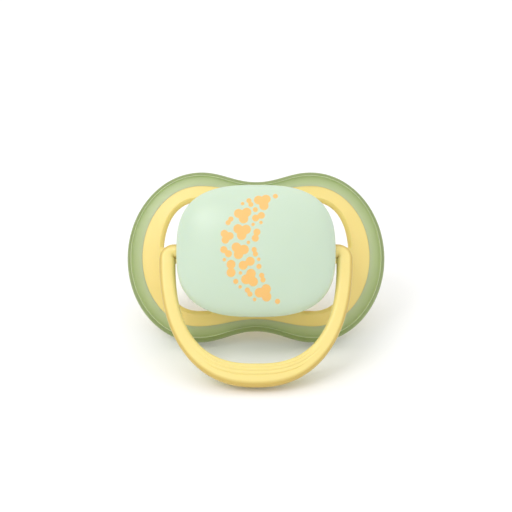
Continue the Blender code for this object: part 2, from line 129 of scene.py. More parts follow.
def new_material(name):
    """A material with one Principled shader, as its tree and that shader."""
    material = bpy.data.materials.new(name)
    material.use_nodes = True
    return material, material.node_tree, material.node_tree.nodes["Principled BSDF"]


bpy.ops.object.select_all(action="DESELECT")
bpy.ops.mesh.primitive_plane_add(size=FLOOR_WIDTH)
floor = bpy.context.object
floor.name = "floor"
floor_paper, tree, shader = new_material("matt white paper")
shader.inputs["Base Color"].default_value = linear("#FDFDFD")
shader.inputs["Roughness"].default_value = 0.9
floor.data.materials.append(floor_paper)

world = bpy.data.worlds.new("white room")
world.use_nodes = True
tree = world.node_tree
walls = tree.nodes["Background"]
walls.inputs["Color"].default_value = (1, 1, 1, 1)
ray = add_node(tree, "LightPath")
mirrored = add_node(tree, "Math", {"operation": "MAXIMUM"},
                    {0: ray.outputs["Is Glossy Ray"], 1: ray.outputs["Is Transmission Ray"]})
direct = add_node(tree, "Math", {"operation": "MAXIMUM"},
                  {0: ray.outputs["Is Camera Ray"], 1: mirrored.outputs["Value"]})
seen = add_node(tree, "MapRange", {"To Min": ROOM_LIGHT, "To Max": 1.0},
                {"Value": direct.outputs["Value"]})
tree.links.new(seen.outputs["Result"], walls.inputs["Strength"])
bpy.context.scene.world = world

bpy.ops.object.light_add(type="SUN", location=(0, 0, 1))
bpy.context.object.name = "overhead"
bpy.context.object.data.angle = OVERHEAD_SPREAD
bpy.context.object.data.energy = OVERHEAD_STRENGTH
bpy.ops.object.light_add(type="AREA", location=KEY_PLACE,
                         rotation=(KEY_PLACE - aim).to_track_quat("Z", "Y").to_euler())
bpy.context.object.name = "key"
bpy.context.object.data.size = KEY_WIDTH
bpy.context.object.data.energy = KEY_POWER


# ---------------------------------------------------------------- shield plate
# The hard plate: injection-moulded polypropylene, dished towards the teat,
# with four air vents round the cover. It is cut flat, its vent edges are
# rounded, and then the whole plate is bent to its dish.

# Half sizes of the shield, and widths of its rim, at the ends, lobes and waist.
SHIELD_HALF = (30.0 * MM, 19.8 * MM, 17.3 * MM)
RIM_WIDTH = (3.8 * MM, 3.6 * MM, 2.7 * MM)
LOBE_X = 13.1 * MM
WAIST_HANDLE = 0.39 * LOBE_X
DISH_RADIUS = 120 * MM
DISH_GRID = 1.5 * MM
PLATE_FACE = 1.2 * MM
VENT_HALF = (21.3 * MM, 12.6 * MM)
VENT_SHOULDER_X = 13.0 * MM
VENT_CURVE = 0.7
VENT_DIAGONAL = 31 * MM
VENT_ROUND = 1.15 * MM
VENT_BEAD = 0.09 * MM
VENT_CORNERS = (1.3 * MM, 0.35 * MM)
ROUND_STEPS = 8
SMALL_ROUND_STEPS = 4
SPOKE_WIDTH = 3.6 * MM
COVER_POWER = 2.8
COVER_BASE = (16.6 * MM, 13.6 * MM)
COVER_WALL = 1.4 * MM
COVER_MARGIN = 0.5 * MM
RIB_GAP = 0.3 * MM
RIB = tuple(half - COVER_WALL - RIB_GAP for half in COVER_BASE)
RIB_THICKNESS = 1.0 * MM
RIB_HEIGHT = 1.6 * MM
COLLAR = (9.7 * MM, 8.5 * MM)
COLLAR_THICKNESS = 1.2 * MM
COLLAR_HEIGHT = 3.8 * MM
NECK_HOLE = (5.3 * MM, 4.55 * MM)
OUTLINE_POINTS = 192
OVAL_POINTS = 96
CUTTER_REACH = 4 * MM
# Handle of a Bezier quarter of an ellipse, as a share of its radius.
ARC = 0.5523


def bezier(a, b, c, d, t):
    """A point on a cubic Bezier curve."""
    return tuple((1 - t) ** 3 * p + 3 * (1 - t) ** 2 * t * q + 3 * (1 - t) * t * t * r + t ** 3 * s
                 for p, q, r, s in zip(a, b, c, d))


def four_quarters(turn, quarter_at):
    """Point at a share of a turn of an outline whose quarters mirror each other."""
    quarter, along = divmod((turn % 1) * 4, 1)
    x, y = quarter_at(1 - along if quarter in (1, 3) else along)
    return Vector((-x if quarter in (1, 2) else x, -y if quarter in (2, 3) else y, 0))


def lobed(turn, inset=0.0):
    """Point of the shield's outline at a share of a turn; inset 1 is the plate's edge."""
    end, lobe, waist = (half - inset * width for half, width in zip(SHIELD_HALF, RIM_WIDTH))

    def quarter_at(along):
        if along < 0.5:
            return bezier((end, 0), (end, ARC * lobe), (LOBE_X + ARC * (end - LOBE_X), lobe),
                          (LOBE_X, lobe), along * 2)
        return bezier((LOBE_X, lobe), (LOBE_X - WAIST_HANDLE, lobe), (WAIST_HANDLE, waist),
                      (0, waist), along * 2 - 1)

    return four_quarters(turn, quarter_at)


def oval(turn, half_x, half_y, power=2.0):
    """Point of a superellipse at a share of a turn."""
    c, s = math.cos(turn * 2 * math.pi), math.sin(turn * 2 * math.pi)
    return Vector((half_x * math.copysign(abs(c) ** (2 / power), c),
                   half_y * math.copysign(abs(s) ** (2 / power), s), 0))


def dish(x, y):
    """How far the shield falls away from the viewer at a point."""
    return DISH_RADIUS - math.sqrt(DISH_RADIUS ** 2 - x * x - y * y)


def prism(name, outline, points, top, bottom):
    """A filled circle whose points are moved onto an outline, then extruded down."""
    bpy.ops.object.select_all(action="DESELECT")
    bpy.ops.mesh.primitive_circle_add(vertices=points, fill_type="NGON")
    piece = bpy.context.object
    piece.name = name
    for vert in piece.data.vertices:
        vert.co = outline(vert.index / points) + Vector((0, 0, top))
    bpy.ops.object.mode_set(mode="EDIT")
    bpy.ops.mesh.select_all(action="SELECT")
    bpy.ops.mesh.extrude_region_move(TRANSFORM_OT_translate={"value": (0, 0, bottom - top)})
    bpy.ops.mesh.select_all(action="SELECT")
    bpy.ops.mesh.normals_make_consistent(inside=False)
    bpy.ops.object.mode_set(mode="OBJECT")
    return piece


def join_or_cut(piece, tool, operation):
    """Apply a Boolean of one mesh with another, and remove the other."""
    boolean = piece.modifiers.new(operation, "BOOLEAN")
    boolean.operation = operation
    boolean.object = tool
    bpy.context.view_layer.objects.active = piece
    bpy.ops.object.modifier_apply(modifier=boolean.name)
    bpy.data.objects.remove(tool)


def round_edges(piece, wanted, radius, segments, profile=0.5):
    """Bevel the edges that wanted(middle, direction, face normals) picks."""
    bpy.ops.object.select_all(action="DESELECT")
    bpy.context.view_layer.objects.active = piece
    piece.select_set(True)
    bpy.ops.object.mode_set(mode="EDIT")
    bpy.ops.mesh.select_mode(type="EDGE")
    bpy.ops.mesh.select_all(action="DESELECT")
    bm = bmesh.from_edit_mesh(piece.data)
    for edge in bm.edges:
        a, b = edge.verts[0].co, edge.verts[1].co
        normals = [face.normal for face in edge.link_faces]
        edge.select_set(len(normals) == 2 and wanted((a + b) / 2, b - a, normals))
    bm.select_flush_mode()
    bmesh.update_edit_mesh(piece.data)
    bpy.ops.mesh.bevel(offset=radius, segments=segments, affect="EDGES", profile=profile)
    bpy.ops.object.mode_set(mode="OBJECT")


def bend_to_dish(piece):
    """Bisect a flat piece along a grid, and let every point fall to the dish."""
    bpy.ops.object.select_all(action="DESELECT")
    bpy.context.view_layer.objects.active = piece
    piece.select_set(True)
    bpy.ops.object.mode_set(mode="EDIT")
    for axis, half in ((Vector((1, 0, 0)), SHIELD_HALF[0]), (Vector((0, 1, 0)), SHIELD_HALF[1])):
        lines = int(half / DISH_GRID)
        for line in range(-lines, lines + 1):
            bpy.ops.mesh.select_all(action="SELECT")
            bpy.ops.mesh.bisect(plane_co=axis * line * DISH_GRID, plane_no=axis)
    bpy.ops.object.mode_set(mode="OBJECT")
    for vert in piece.data.vertices:
        vert.co.z -= dish(vert.co.x, vert.co.y)


def shade(piece, material, degrees=40):
    """Smooth the piece except across sharp edges, and give it its material."""
    bpy.ops.object.select_all(action="DESELECT")
    bpy.context.view_layer.objects.active = piece
    piece.select_set(True)
    bpy.ops.object.shade_smooth_by_angle(angle=math.radians(degrees))
    piece.data.materials.clear()
    piece.data.materials.append(material)


def vent_outline(turn):
    """Point of the line round all four vents: curved at the ends, straight above."""
    half_x, half_y = VENT_HALF

    def quarter_at(along):
        if along < VENT_CURVE:
            return bezier((half_x, 0), (half_x, 0.66 * half_y),
                          (VENT_SHOULDER_X + 0.62 * (half_x - VENT_SHOULDER_X), half_y),
                          (VENT_SHOULDER_X, half_y), along / VENT_CURVE)
        return VENT_SHOULDER_X * (1 - along) / (1 - VENT_CURVE), half_y

    return four_quarters(turn, quarter_at)


def make_vents():
    """The vents' four openings, with their corners rounded, as one cutter."""
    vents = prism("vents", vent_outline, OUTLINE_POINTS, CUTTER_REACH, -CUTTER_REACH)
    hub_half = [half + COVER_MARGIN for half in COVER_BASE]
    hub = prism("hub", lambda turn: oval(turn, *hub_half, COVER_POWER), OUTLINE_POINTS,
                2 * CUTTER_REACH, -2 * CUTTER_REACH)
    join_or_cut(vents, hub, "DIFFERENCE")
    bpy.ops.object.select_all(action="DESELECT")
    bpy.ops.mesh.primitive_cube_add(size=1, scale=(2 * SHIELD_HALF[0], SPOKE_WIDTH, 4 * CUTTER_REACH))
    join_or_cut(vents, bpy.context.object, "DIFFERENCE")

    def corner(direction, normals):
        return abs(direction.z) > CUTTER_REACH and normals[0].dot(normals[1]) < 0.8

    round_edges(vents, lambda m, d, n: corner(d, n) and abs(m.y) < SPOKE_WIDTH, VENT_CORNERS[0],
                ROUND_STEPS)
    round_edges(vents, lambda m, d, n: corner(d, n) and abs(m.y) > SPOKE_WIDTH, VENT_CORNERS[1],
                SMALL_ROUND_STEPS)
    return vents


def upright_wall(piece, half, power, thickness, height):
    """Stand an oval wall on the front of the plate."""
    inner_half = [size - thickness for size in half]
    wall = prism("wall", lambda turn: oval(turn, *half, power), OVAL_POINTS, PLATE_FACE + height, 0)
    inside = prism("wall inside", lambda turn: oval(turn, *inner_half, power), OVAL_POINTS,
                   PLATE_FACE + 2 * height, -PLATE_FACE)
    join_or_cut(wall, inside, "DIFFERENCE")
    join_or_cut(piece, wall, "UNION")


def vent_edge(middle, direction, normals):
    """Whether an edge is where a vent's wall meets the plate's front or back."""
    return (abs(middle.x) < VENT_HALF[0] + 0.3 * MM and abs(middle.y) < VENT_HALF[1] + 0.3 * MM
            and abs(middle.x) + abs(middle.y) < VENT_DIAGONAL and abs(normals[0].z - normals[1].z) > 0.9)


plate = prism("shield_plate_moulding", lambda turn: lobed(turn, 1.0), OUTLINE_POINTS, PLATE_FACE,
              -PLATE_FACE)
join_or_cut(plate, make_vents(), "DIFFERENCE")
round_edges(plate, vent_edge, VENT_ROUND, ROUND_STEPS)
# The vents' front edges carry a fine raised bead before they roll inwards: the
# rounding's first row is raised, and its second is level with the plate's face.
for vert in plate.data.vertices:
    drop = (PLATE_FACE - vert.co.z) / VENT_ROUND
    if 0.01 < drop < 0.05:
        vert.co.z = PLATE_FACE + VENT_BEAD
    elif 0.05 < drop < 0.10:
        vert.co.z = PLATE_FACE
upright_wall(plate, RIB, COVER_POWER, RIB_THICKNESS, RIB_HEIGHT)
upright_wall(plate, COLLAR, 2.0, COLLAR_THICKNESS, COLLAR_HEIGHT)
neck_hole = prism("neck hole", lambda turn: oval(turn, *NECK_HOLE), OVAL_POINTS,
                  2 * CUTTER_REACH, -CUTTER_REACH)
join_or_cut(plate, neck_hole, "DIFFERENCE")
bend_to_dish(plate)


def moulded_plastic(name, colour, deeper, roughness):
    """Polypropylene from a satin mould: even colour, soft gloss, fine grain."""
    material, tree, shader = new_material(name)
    place = add_node(tree, "TexCoord").outputs["Object"]
    drift = add_node(tree, "TexNoise", {"Scale": 90.0, "Detail": 2.0}, {"Vector": place})
    tint = add_node(tree, "MixRGB", {"Color1": linear(colour), "Color2": linear(deeper)},
                    {"Fac": drift.outputs["Fac"]})
    grain = add_node(tree, "TexNoise", {"Scale": 2600.0, "Detail": 2.0}, {"Vector": place})
    bump = add_node(tree, "Bump", {"Strength": 0.06, "Distance": 0.05 * MM},
                    {"Height": grain.outputs["Fac"]})
    rough = add_node(tree, "MapRange", {"To Min": roughness - 0.05, "To Max": roughness + 0.05},
                     {"Value": drift.outputs["Fac"]})
    tree.links.new(tint.outputs["Color"], shader.inputs["Base Color"])
    tree.links.new(rough.outputs["Result"], shader.inputs["Roughness"])
    tree.links.new(bump.outputs["Normal"], shader.inputs["Normal"])
    shader.inputs["IOR"].default_value = 1.49
    shader.inputs["Subsurface Weight"].default_value = 0.25
    shader.inputs["Subsurface Radius"].default_value = (1.0, 0.8, 0.4)
    shader.inputs["Subsurface Scale"].default_value = 0.8 * MM
    return material


yellow_plastic = moulded_plastic("yellow polypropylene", "#F4DE8C", "#F0D882", 0.36)
shade(plate, yellow_plastic)
lay(plate, body_place)
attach(plate, "pacifier_body")
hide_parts("shield_plate")


# ------------------------------------------------------------------ shield rim
# The soft rim: a translucent elastomer moulded round the plate's edge, flush
# with it in front, with a fine ridge and a rolled lip, and rounded behind.

# Its section, going round: share of the way in to the plate, millimetres in from
# the outer edge, and height in millimetres.
RIM_SECTION = ((1.00, 0.0, -1.20), (1.00, 0.0, 1.08), (1.00, 0.0, 1.20), (0.90, 0.0, 1.16),
               (0.70, 0.1, 1.10), (0.45, 0.4, 1.08), (0.20, 0.85, 1.12), (0.0, 1.24, 1.20),
               (0.0, 1.10, 1.32), (0.0, 0.98, 1.24), (0.0, 0.84, 1.10), (0.0, 0.56, 0.86),
               (0.0, 0.30, 0.52), (0.0, 0.11, 0.08), (0.0, 0.0, -0.50), (0.0, 0.05, -1.10),
               (0.0, 0.25, -1.70), (0.0, 0.62, -2.22), (0.06, 1.10, -2.58), (0.35, 1.0, -2.78),
               (0.70, 0.55, -2.84), (0.92, 0.10, -2.74), (1.00, 0.0, -2.50))
# Its colour, going round in the same way, from the plate's edge over the ridge, with a painted highlight
# along the ridge's crest and painted shade down the outer lip.
RIM_COLOURS_WITH_PAINTED_LIGHT = ((0.0, "#CEDDAE"), (0.09, "#CFDCB0"), (0.17, "#C2D19A"), (0.25, "#ADBF7D"),
               (0.32, "#B4C488"), (0.345, "#E2EBCC"), (0.37, "#9DAE6B"), (0.43, "#8D9F5C"),
               (0.52, "#91A25D"), (0.66, "#A6B776"), (0.81, "#BCCB96"))
RIM_SQUARES = (256, 110)
MERGE_DISTANCE = 0.001 * MM


def skin(name, along, around, place):
    """A sheet of squares wrapped round a piece: place(u, v) says where each goes."""
    bpy.ops.object.select_all(action="DESELECT")
    bpy.ops.mesh.primitive_grid_add(size=1, x_subdivisions=along, y_subdivisions=around)
    piece = bpy.context.object
    piece.name = name
    for vert in piece.data.vertices:
        vert.co = place(vert.co.x + 0.5, vert.co.y + 0.5)
    bpy.ops.object.mode_set(mode="EDIT")
    bpy.ops.mesh.select_all(action="SELECT")
    bpy.ops.mesh.remove_doubles(threshold=MERGE_DISTANCE)
    bpy.ops.mesh.normals_make_consistent(inside=False)
    bpy.ops.object.mode_set(mode="OBJECT")
    return piece


def smooth_row(rows, share):
    """A row between the listed ones, on a curve through them all, which closes."""
    spot = (share % 1) * len(rows)
    i, t = int(spot), spot % 1
    a, b, c, d = (rows[(i + k - 1) % len(rows)] for k in range(4))
    return [0.5 * (2 * q + (r - p) * t + (2 * p - 5 * q + 4 * r - s) * t * t
                   + (3 * q - p - 3 * r + s) * t ** 3) for p, q, r, s in zip(a, b, c, d)]


def rim_point(u, v):
    inset, out_mm, height_mm = smooth_row(RIM_SECTION, v)
    edge, inner = lobed(u, 0.0), lobed(u, 1.0)
    inward = (inner - edge).normalized()
    point = edge + (inner - edge) * inset + inward * out_mm * MM * (1 - inset)
    point.z = height_mm * MM - dish(point.x, point.y)
    return point


rim = skin("shield_rim_moulding", *RIM_SQUARES, rim_point)


def elastomer(name):
    """Thermoplastic elastomer: cloudy green, light gets into it, satin gloss; its colour round the
    section carries a painted highlight on the ridge and painted shade on the outer lip.
    """
    material, tree, shader = new_material(name)
    place = add_node(tree, "TexCoord").outputs["Object"]
    drift = add_node(tree, "TexNoise", {"Scale": 60.0, "Detail": 2.0}, {"Vector": place})
    around = add_node(tree, "SeparateXYZ", links={"Vector": add_node(tree, "TexCoord").outputs["UV"]})
    # The colour round the section paints a highlight on the ridge's crest and shade down the outer lip.
    rim_colour_and_painted_light = add_node(tree, "ValToRGB", {"stops": RIM_COLOURS_WITH_PAINTED_LIGHT}, {"Fac": around.outputs["Y"]})
    tint = add_node(tree, "MixRGB", {"Color2": linear("#A9BE78")}, {"Color1": rim_colour_and_painted_light.outputs["Color"]})
    fade = add_node(tree, "MapRange", {"To Min": 0.0, "To Max": 0.16}, {"Value": drift.outputs["Fac"]})
    tree.links.new(fade.outputs["Result"], tint.inputs["Fac"])
    grain = add_node(tree, "TexNoise", {"Scale": 1800.0, "Detail": 2.0}, {"Vector": place})
    bump = add_node(tree, "Bump", {"Strength": 0.05, "Distance": 0.05 * MM},
                    {"Height": grain.outputs["Fac"]})
    tree.links.new(tint.outputs["Color"], shader.inputs["Base Color"])
    tree.links.new(bump.outputs["Normal"], shader.inputs["Normal"])
    shader.inputs["Roughness"].default_value = 0.32
    shader.inputs["IOR"].default_value = 1.45
    shader.inputs["Transmission Weight"].default_value = 0.25
    shader.inputs["Subsurface Weight"].default_value = 0.5
    shader.inputs["Subsurface Radius"].default_value = (1.0, 1.2, 0.5)
    shader.inputs["Subsurface Scale"].default_value = 1.6 * MM
    return material


shade(rim, elastomer("green elastomer"))
lay(rim, body_place)
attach(rim, "pacifier_body")
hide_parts("shield_rim")


# ----------------------------------------------------------------------- cover
# The hollow cap on the front: a moulded polypropylene shell with a gently
# domed crown. It is a bevelled block whose top is drawn up and in, step by
# step, then hollowed, fitted to the dished plate and drilled for the pins.
COVER_FULL = (17.2 * MM, 14.3 * MM)
COVER_WIDEST = 8.7 * MM
COVER_DOME = 4.75 * MM
DOME_FLATNESS = 2.4
DOME_SHOULDER = 1.8
DOME_ROW_SPACING = 0.8
COVER_GAP = 0.12 * MM
PIN_HOLE_RADIUS = 2.2 * MM
COVER_CORNER_STEPS = 28
COVER_SIDE_STEPS = 10
COVER_DOME_STEPS = 26
SUPERELLIPSE_PROFILE = 0.5 ** (2 / COVER_POWER)

bpy.ops.object.select_all(action="DESELECT")
bpy.ops.mesh.primitive_cube_add(size=2)
cover = bpy.context.object
cover.name = "cover_moulding"
round_edges(cover, lambda m, d, n: abs(d.z) > 1, 1.0, COVER_CORNER_STEPS, SUPERELLIPSE_PROFILE)
bpy.ops.object.mode_set(mode="EDIT")
bpy.ops.mesh.select_all(action="SELECT")
bpy.ops.mesh.remove_doubles(threshold=1e-5)
bpy.ops.transform.resize(value=(COVER_BASE[0], COVER_BASE[1], 0.5 * PLATE_FACE))
bpy.ops.mesh.select_mode(type="FACE")
bpy.ops.mesh.select_all(action="DESELECT")
bm = bmesh.from_edit_mesh(cover.data)
bm.faces.ensure_lookup_table()
caps = [face for face in bm.faces if abs(face.normal.z) > 0.9]
caps.sort(key=lambda face: face.calc_center_median().z)
caps[-1].select = True
bmesh.ops.delete(bm, geom=[caps[0]], context="FACES_ONLY")
bmesh.update_edit_mesh(cover.data)

# Rows up the side and over the dome: half length, half width and height.
cover_rows = []
for step in range(1, COVER_SIDE_STEPS + 1):
    rise = step / COVER_SIDE_STEPS
    swell = math.sin(rise * math.pi / 2)
    cover_rows.append((COVER_BASE[0] + (COVER_FULL[0] - COVER_BASE[0]) * swell,
                       COVER_BASE[1] + (COVER_FULL[1] - COVER_BASE[1]) * swell, rise * COVER_WIDEST))
for step in range(1, COVER_DOME_STEPS):
    share = math.cos(step / COVER_DOME_STEPS * math.pi / 2) ** DOME_ROW_SPACING
    rise = (1 - share ** DOME_FLATNESS) ** (1 / DOME_SHOULDER)
    cover_rows.append((COVER_FULL[0] * share, COVER_FULL[1] * share, COVER_WIDEST + COVER_DOME * rise))
now = (COVER_BASE[0], COVER_BASE[1], 0.0)
foot = PLATE_FACE + COVER_GAP
bpy.ops.transform.translate(value=(0, 0, foot - 0.5 * PLATE_FACE))
for row in cover_rows:
    bpy.ops.mesh.extrude_region_move(TRANSFORM_OT_translate={"value": (0, 0, row[2] - now[2])})
    bpy.ops.transform.resize(value=(row[0] / now[0], row[1] / now[1], 1))
    now = row
bpy.ops.mesh.poke()
bpy.ops.object.mode_set(mode="OBJECT")

# Its foot follows the dished plate, and its crown stays flat.
for vert in cover.data.vertices:
    follow = max(0.0, 1 - (vert.co.z - foot) / COVER_WIDEST)
    vert.co.z -= follow * dish(vert.co.x, vert.co.y)
shell = cover.modifiers.new("wall", "SOLIDIFY")
shell.thickness = COVER_WALL
shell.offset = -1
shell.use_even_offset = True
bpy.context.view_layer.objects.active = cover
bpy.ops.object.modifier_apply(modifier=shell.name)

bpy.ops.object.select_all(action="DESELECT")
bpy.ops.mesh.primitive_cylinder_add(vertices=64, radius=PIN_HOLE_RADIUS, depth=2 * SHIELD_HALF[0],
                                    location=(0, 0, PIN_HEIGHT), rotation=(0, math.pi / 2, 0))
join_or_cut(cover, bpy.context.object, "DIFFERENCE")


# The print: one colour of pad-printing ink, in rounded spots that fill a crescent.
# Each spot is one, two or three discs that run together. They are thrown at the
# crescent like darts, the biggest first, and stay where they are clear of the
# rest. All its sizes are in millimetres on the bench.
CRESCENT_OUTER = ((4.3, 0.2), 12.1)     # centre and radius of each of its two arcs
CRESCENT_INNER = ((17.0, 0.4), 16.4)
THROWN_AT = ((-8, 6.5), (-12.5, 12.5))
SPOT_GAP = 0.34
SPOT_OVERHANG = 0.15
SPOT_BRIDGE = 0.45
INK_EDGE = 0.04
# Discs in a spot, their radius, and how many spots of this kind are thrown.
SPOT_KINDS = ((3, 1.0, 400), (2, 0.95, 900), (3, 0.8, 1500), (2, 0.75, 2500), (2, 0.55, 4000),
              (1, 0.55, 4000), (1, 0.38, 4000))
# How far a spot's discs lie from its middle, in radii, and in which directions.
DISC_PLACES = {1: (0, (0.0,)), 2: (0.9, (0.0, math.pi)), 3: (0.95, (0.0, 2.0, -2.0))}
dart = random.Random(5)


def depth_in_crescent(spot):
    """How deep inside the crescent a point is."""
    return min(CRESCENT_OUTER[1] - math.dist(spot, CRESCENT_OUTER[0]),
               math.dist(spot, CRESCENT_INNER[0]) - CRESCENT_INNER[1])


printed = []
for count, radius, throws in SPOT_KINDS:
    spread, directions = DISC_PLACES[count]
    for _ in range(throws):
        x = dart.uniform(*THROWN_AT[0])
        y = dart.uniform(*THROWN_AT[1])
        turn = dart.uniform(0, 2 * math.pi)
        discs = [((x + spread * radius * math.cos(turn + way),
                   y + spread * radius * math.sin(turn + way)), radius) for way in directions]
        if all(depth_in_crescent(spot) > radius - SPOT_OVERHANG
               and all(math.dist(spot, other) > radius + size + SPOT_GAP for other, size in printed)
               for spot, _ in discs):
            printed += discs


def ink(tree):
    """How much ink there is at a point of the cover, from 0 to 1."""
    back = body_place.inverted()
    bench = add_node(tree, "Mapping", {"Location": back.translation / MM, "Rotation": back.to_euler(),
                                       "Scale": (1 / MM, 1 / MM, 1 / MM)},
                     {"Vector": add_node(tree, "TexCoord").outputs["Object"]})
    flat = add_node(tree, "VectorMath", {"operation": "MULTIPLY", 1: (1, 1, 0)},
                    {0: bench.outputs["Vector"]})
    outside_all = None
    for radius in sorted({size for _, size in printed}):
        nearest = None
        for x, y in (spot for spot, size in printed if size == radius):
            away = add_node(tree, "VectorMath", {"operation": "DISTANCE", 1: (x, y, 0)},
                            {0: flat.outputs["Vector"]}).outputs["Value"]
            nearest = away if nearest is None else add_node(
                tree, "Math", {"operation": "SMOOTH_MIN", 2: SPOT_BRIDGE},
                {0: nearest, 1: away}).outputs["Value"]
        outside = add_node(tree, "Math", {"operation": "SUBTRACT", 1: radius},
                           {0: nearest}).outputs["Value"]
        outside_all = outside if outside_all is None else add_node(
            tree, "Math", {"operation": "MINIMUM"}, {0: outside_all, 1: outside}).outputs["Value"]
    return add_node(tree, "MapRange", {"From Min": INK_EDGE, "From Max": -INK_EDGE},
                    {"Value": outside_all}).outputs["Result"]


mint_plastic = moulded_plastic("mint polypropylene", "#CDDFC9", "#C7DAC3", 0.31)
tree = mint_plastic.node_tree
shader = tree.nodes["Principled BSDF"]
plastic_colour = shader.inputs["Base Color"].links[0].from_socket
inked = add_node(tree, "MixRGB", {"Color2": linear("#F3C274")},
                 {"Fac": ink(tree), "Color1": plastic_colour})
tree.links.new(inked.outputs["Color"], shader.inputs["Base Color"])
shade(cover, mint_plastic)
lay(cover, body_place)
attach(cover, "pacifier_body")
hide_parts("cover")


# ----------------------------------------------------------------- ring handle
# The ring: a polypropylene bail moulded in one with its two hinge pins. A
# rounded bar is swept from the head of one pin, round its corner, down the arm,
# along the wider band with its grip grooves, and back to the other pin.
RING_HALF = 21.15 * MM
RING_REACH = 29.5 * MM
ARM_WIDTH = 3.5 * MM
BAND_WIDTH = 5.0 * MM
ARM_THICKNESS = 3.5 * MM
BAND_THICKNESS = 3.7 * MM
RING_CORNER = 3.3 * MM
OUTER_POWER = 2.3
INNER_POWER = 2.6
PIN_RADIUS = 1.7 * MM
# A pin's head and shank, as distance from the middle and radius in millimetres.
PIN_HEAD = ((13.4, 0.0), (13.4, 2.6), (13.5, 2.8), (13.7, 2.9), (14.6, 2.9), (14.8, 2.8), (14.9, 2.6))
PIN_SHANK = tuple((x, PIN_RADIUS / MM) for x in (14.9, 15.1, 16.0, 17.0))
CORNER_STEPS = 12
BAR_STEPS = 96
RING_SQUARES_AROUND = 216
GRIP_FROM = 0.74
GRIP_FADE = 0.16
GROOVES = 7
GROOVE_SPACING = 0.85 * MM
GROOVE_WIDTH = 0.17 * MM
GROOVE_DEPTH = 0.15 * MM
FACE_DIP = 0.14 * MM


def half_ring():
    """Stations from a pin's head to the bottom: outer point, inner point,
    thickness, squareness inside, squareness outside, share of grip groove."""
    stations = []
    for x, radius in PIN_HEAD + PIN_SHANK:
        stations.append(((x * MM, radius * MM), (x * MM, -radius * MM), 2 * radius * MM, 2.0, 2.0, 0.0))
    bend = Vector((RING_HALF - RING_CORNER, PIN_RADIUS - RING_CORNER))
    for step in range(CORNER_STEPS + 1):
        turn = math.pi / 2 * (1 - step / CORNER_STEPS)
        outwards = Vector((math.cos(turn), math.sin(turn)))
        inner_reach = RING_CORNER - ARM_WIDTH + 0.3 * MM * math.sin(turn)
        squareness = 2.0 + 0.06 * step
        stations.append((bend + RING_CORNER * outwards, bend + inner_reach * outwards,
                         2 * PIN_RADIUS, squareness, squareness, 0.0))
    for step in range(1, BAR_STEPS + 1):
        turn = math.pi / 2 * step / BAR_STEPS
        c, s = math.cos(turn), math.sin(turn)
        outer = (RING_HALF * c ** (2 / OUTER_POWER), -RING_REACH * s ** (2 / OUTER_POWER))
        if outer[1] > bend.y - 0.4 * MM:
            continue
        inner = ((RING_HALF - ARM_WIDTH) * c ** (2 / INNER_POWER),
                 -(RING_REACH - BAND_WIDTH) * s ** (2 / INNER_POWER))
        low = s ** 2
        grip = min(1.0, max(0.0, (s - GRIP_FROM) / GRIP_FADE))
        stations.append((outer, inner, ARM_THICKNESS + (BAND_THICKNESS - ARM_THICKNESS) * low,
                         2.7 + 0.5 * low, 2.7 + 0.3 * low, grip))
    return stations


right_half = half_ring()
left_half = [((-outer[0], outer[1]), (-inner[0], inner[1]), *rest)
             for outer, inner, *rest in right_half[-2::-1]]
ring_stations = right_half + left_half


def ring_point(u, v):
    station = ring_stations[round(u * (len(ring_stations) - 1))]
    outer, inner, thickness, inner_power, outer_power, grip = station
    outer, inner = Vector((*outer, 0)), Vector((*inner, 0))
    quarter, part = divmod(v * 4, 1)
    turn = (quarter + 0.5 - 0.5 * math.cos(math.pi * part)) * math.pi / 2
    c, s = math.cos(turn), math.sin(turn)
    power = outer_power if c > 0 else inner_power
    across = math.copysign(abs(c) ** (2 / power), c)
    height = thickness / 2 * math.copysign(abs(s) ** (2 / power), s)
    # The bar is slightly hollow in front and behind, and the round pins are not.
    if power > 2.05:
        height -= math.copysign(FACE_DIP * (1 - across * across) ** 2, s) if abs(s) > 1e-6 else 0
    offset = (outer - inner) / 2 * across + Vector((0, 0, height))
    # Grooves run along the inner wall and round onto the front face.
    way_round = height + (1 + across) * (outer - inner).length / 2
    depth = sum(math.exp(-((way_round - groove * GROOVE_SPACING) / GROOVE_WIDTH) ** 2)
                for groove in range(-1, GROOVES - 1))
    if across < 0.1:
        offset -= offset.normalized() * depth * GROOVE_DEPTH * grip
    return (outer + inner) / 2 + offset


ring = skin("ring_handle_moulding", len(ring_stations) - 1, RING_SQUARES_AROUND, ring_point)
pale_yellow_plastic = moulded_plastic("pale yellow polypropylene", "#F3E090", "#EFDA86", 0.33)
tree = pale_yellow_plastic.node_tree
shader = tree.nodes["Principled BSDF"]
plastic_colour = shader.inputs["Base Color"].links[0].from_socket
# Its outer wall is painted a shade deeper than its front and back: painted shade where the outer wall
# faces down and out.
around = add_node(tree, "SeparateXYZ", links={"Vector": add_node(tree, "TexCoord").outputs["UV"]})
outside = add_node(tree, "ValToRGB", {"stops": ((0.0, "#DCCDA6"), (0.13, "#DFD2AE"), (0.17, "#FFFFFF"),
                                                (0.84, "#FFFFFF"), (0.88, "#DCCDA6"))},
                   {"Fac": around.outputs["Y"]})
outer_wall_painted_shade = add_node(tree, "MixRGB", {"blend_type": "MULTIPLY", "Fac": 1.0},
                    {"Color1": plastic_colour, "Color2": outside.outputs["Color"]})
tree.links.new(outer_wall_painted_shade.outputs["Color"], shader.inputs["Base Color"])
shade(ring, pale_yellow_plastic)
lay(ring, ring_place)
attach(ring, "ring")
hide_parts("ring_handle")


